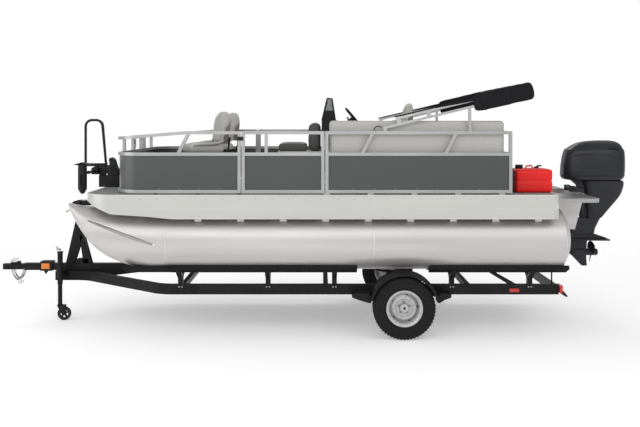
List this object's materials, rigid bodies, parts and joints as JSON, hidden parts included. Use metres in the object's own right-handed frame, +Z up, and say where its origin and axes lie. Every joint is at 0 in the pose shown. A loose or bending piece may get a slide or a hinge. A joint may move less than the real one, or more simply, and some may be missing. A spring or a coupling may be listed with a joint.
{
  "type": "pontoon boat on its trailer",
  "caption": "Fishing pontoon boat with fenced deck, outboard, bow motor and folded top, parked on a single-axle bunk trailer.",
  "frame": {"origin": "centre of the bounding box at ground level", "axes": "+Z up, bow and trailer coupler toward -X, stern and outboard toward +X, port side toward -Y"},
  "size_m": [7.036, 2.438, 2.617],
  "materials": {
    "hull": "satin mill-finish sheet",
    "bright_tube": "bright anodised square tube",
    "panel": "semi-gloss dark grey",
    "skirt": "satin extrusion",
    "carpet": "short grey marine carpet",
    "seat_base": "moulded",
    "seat_vinyl": "beige marine vinyl",
    "chair_vinyl": "grey marine vinyl",
    "console": "moulded",
    "screen": "tinted acrylic",
    "black_plastic": "moulded",
    "black_paint": "gloss",
    "motor_grey": "gloss",
    "red_tank": "moulded",
    "trailer": "gloss black",
    "galvanised": "zinc plated",
    "bunk": "carpeted timber",
    "tyre": "tread",
    "rim": "silver",
    "canvas": "black boot canvas",
    "lamp": "red lens",
    "prop": "painted",
    "caster": "hard rubber"
  },
  "bodies": {
    "boat": {"pontoon_port": "hull", "pontoon_starboard": "hull", "cross_members": "hull", "deck": "carpet", "deck_skirt": "skirt", "fence_bow": "bright_tube", "fence_aft": "bright_tube", "fence_feet": "black_plastic", "fence_panels": "panel", "gate_hinges": "galvanised", "lounge_base": "seat_base", "lounge_pads": "seat_vinyl", "console": "console", "windscreen": "screen", "console_bench": "seat_base", "bench_pads": "seat_vinyl", "seat_pedestals": "galvanised", "motor_pod": "hull", "stern_platforms": "skirt", "fuel_tank": "red_tank", "motor_clamp": "motor_grey", "bimini_mounts": "bright_tube", "troll_mount": "black_paint", "trailer_frame": "trailer", "tongue": "trailer", "winch_stand": "trailer", "bunks": "bunk", "bunk_posts": "trailer", "axle": "trailer", "fenders": "trailer", "tail_lamps": "lamp", "jack_bracket": "galvanised"},
    "wheel_port": {"tyre_port": "tyre", "rim_port": "rim"},
    "wheel_starboard": {"tyre_starboard": "tyre", "rim_starboard": "rim"},
    "gate_port": {"gate_port": "bright_tube", "gate_port_panel": "panel"},
    "gate_bow": {"gate_bow": "bright_tube", "gate_bow_panel": "panel"},
    "chair_port": {"chair_port": "black_plastic", "pads_port": "chair_vinyl"},
    "chair_starboard": {"chair_starboard": "black_plastic", "pads_starboard": "chair_vinyl"},
    "chair_helm": {"chair_helm": "black_plastic", "pads_helm": "chair_vinyl"},
    "steering_wheel": {"steering_wheel": "black_plastic"},
    "motor_swivel": {"motor_swivel": "motor_grey"},
    "motor": {"motor_leg": "motor_grey", "motor_cowl": "motor_grey"},
    "propeller": {"propeller": "prop"},
    "bimini": {"bimini_frame": "bright_tube", "bimini_boot": "canvas"},
    "troll_arm": {"troll_arm": "black_plastic"},
    "troll_prop": {"troll_prop": "black_plastic"},
    "jack_tube": {"jack_tube": "galvanised"},
    "jack_leg": {"jack_leg": "galvanised"},
    "jack_fork": {"jack_fork": "galvanised"},
    "jack_wheel": {"jack_wheel": "caster"}
  },
  "joints": [
    {"name": "wheel_port_spin", "type": "hinge", "parent": "boat", "child": "wheel_port", "pos_m": [0.967, -1.04, 0.32], "axis": [0, 1, 0], "continuous": true},
    {"name": "wheel_starboard_spin", "type": "hinge", "parent": "boat", "child": "wheel_starboard", "pos_m": [0.967, 1.04, 0.32], "axis": [0, 1, 0], "continuous": true},
    {"name": "gate_port_swing", "type": "hinge", "parent": "boat", "child": "gate_port", "pos_m": [0.162, -1.155, 1.7], "axis": [0, 0, -1], "range_deg": [0, 90]},
    {"name": "gate_bow_swing", "type": "hinge", "parent": "boat", "child": "gate_bow", "pos_m": [-1.937, -0.274, 1.7], "axis": [0, 0, -1], "range_deg": [0, 90]},
    {"name": "chair_port_swivel", "type": "hinge", "parent": "boat", "child": "chair_port", "pos_m": [-1.087, -0.5, 1.8], "axis": [0, 0, 1], "continuous": true},
    {"name": "chair_starboard_swivel", "type": "hinge", "parent": "boat", "child": "chair_starboard", "pos_m": [-1.087, 0.5, 1.8], "axis": [0, 0, 1], "continuous": true},
    {"name": "chair_helm_swivel", "type": "hinge", "parent": "boat", "child": "chair_helm", "pos_m": [1.013, 0.43, 1.8], "axis": [0, 0, 1], "continuous": true},
    {"name": "steering_wheel_turn", "type": "hinge", "parent": "boat", "child": "steering_wheel", "pos_m": [0.518, 0.64, 2.25], "axis": [0.766, 0, 0.6428], "range_deg": [-540, 540]},
    {"name": "motor_tilt", "type": "hinge", "parent": "boat", "child": "motor_swivel", "pos_m": [2.963, 0, 1.455], "axis": [0, -1, 0], "range_deg": [0, 60]},
    {"name": "motor_steer", "type": "hinge", "parent": "motor_swivel", "child": "motor", "pos_m": [3.113, 0, 1.3], "axis": [0, 0, 1], "range_deg": [-30, 30]},
    {"name": "propeller_spin", "type": "hinge", "parent": "motor", "child": "propeller", "pos_m": [3.315, 0, 0.724], "axis": [1, 0, 0], "continuous": true},
    {"name": "bimini_raise", "type": "hinge", "parent": "boat", "child": "bimini", "pos_m": [0.763, 0, 2.149], "axis": [0, -1, 0], "range_deg": [0, 75]},
    {"name": "troll_arm_drop", "type": "hinge", "parent": "boat", "child": "troll_arm", "pos_m": [-2.402, -0.15, 1.66], "axis": [1, 0, 0], "range_deg": [0, 90]},
    {"name": "troll_prop_spin", "type": "hinge", "parent": "troll_arm", "child": "troll_prop", "pos_m": [-2.402, -0.71, 1.766], "axis": [0, 0, 1], "continuous": true},
    {"name": "jack_swing", "type": "hinge", "parent": "boat", "child": "jack_tube", "pos_m": [-2.787, -0.235, 0.49], "axis": [0, 1, 0], "range_deg": [0, 90]},
    {"name": "jack_slide", "type": "slide", "parent": "jack_tube", "child": "jack_leg", "axis": [0, 0, 1], "range_m": [0, 0.21]},
    {"name": "jack_caster_swivel", "type": "hinge", "parent": "jack_leg", "child": "jack_fork", "pos_m": [-2.787, -0.235, 0.172], "axis": [0, 0, 1], "continuous": true},
    {"name": "jack_wheel_spin", "type": "hinge", "parent": "jack_fork", "child": "jack_wheel", "pos_m": [-2.739, -0.235, 0.075], "axis": [0, 1, 0], "continuous": true}
  ],
  "couplings": [
    {"joint": "steering_wheel_turn", "follows": "motor_steer", "ratio": 18}
  ]
}
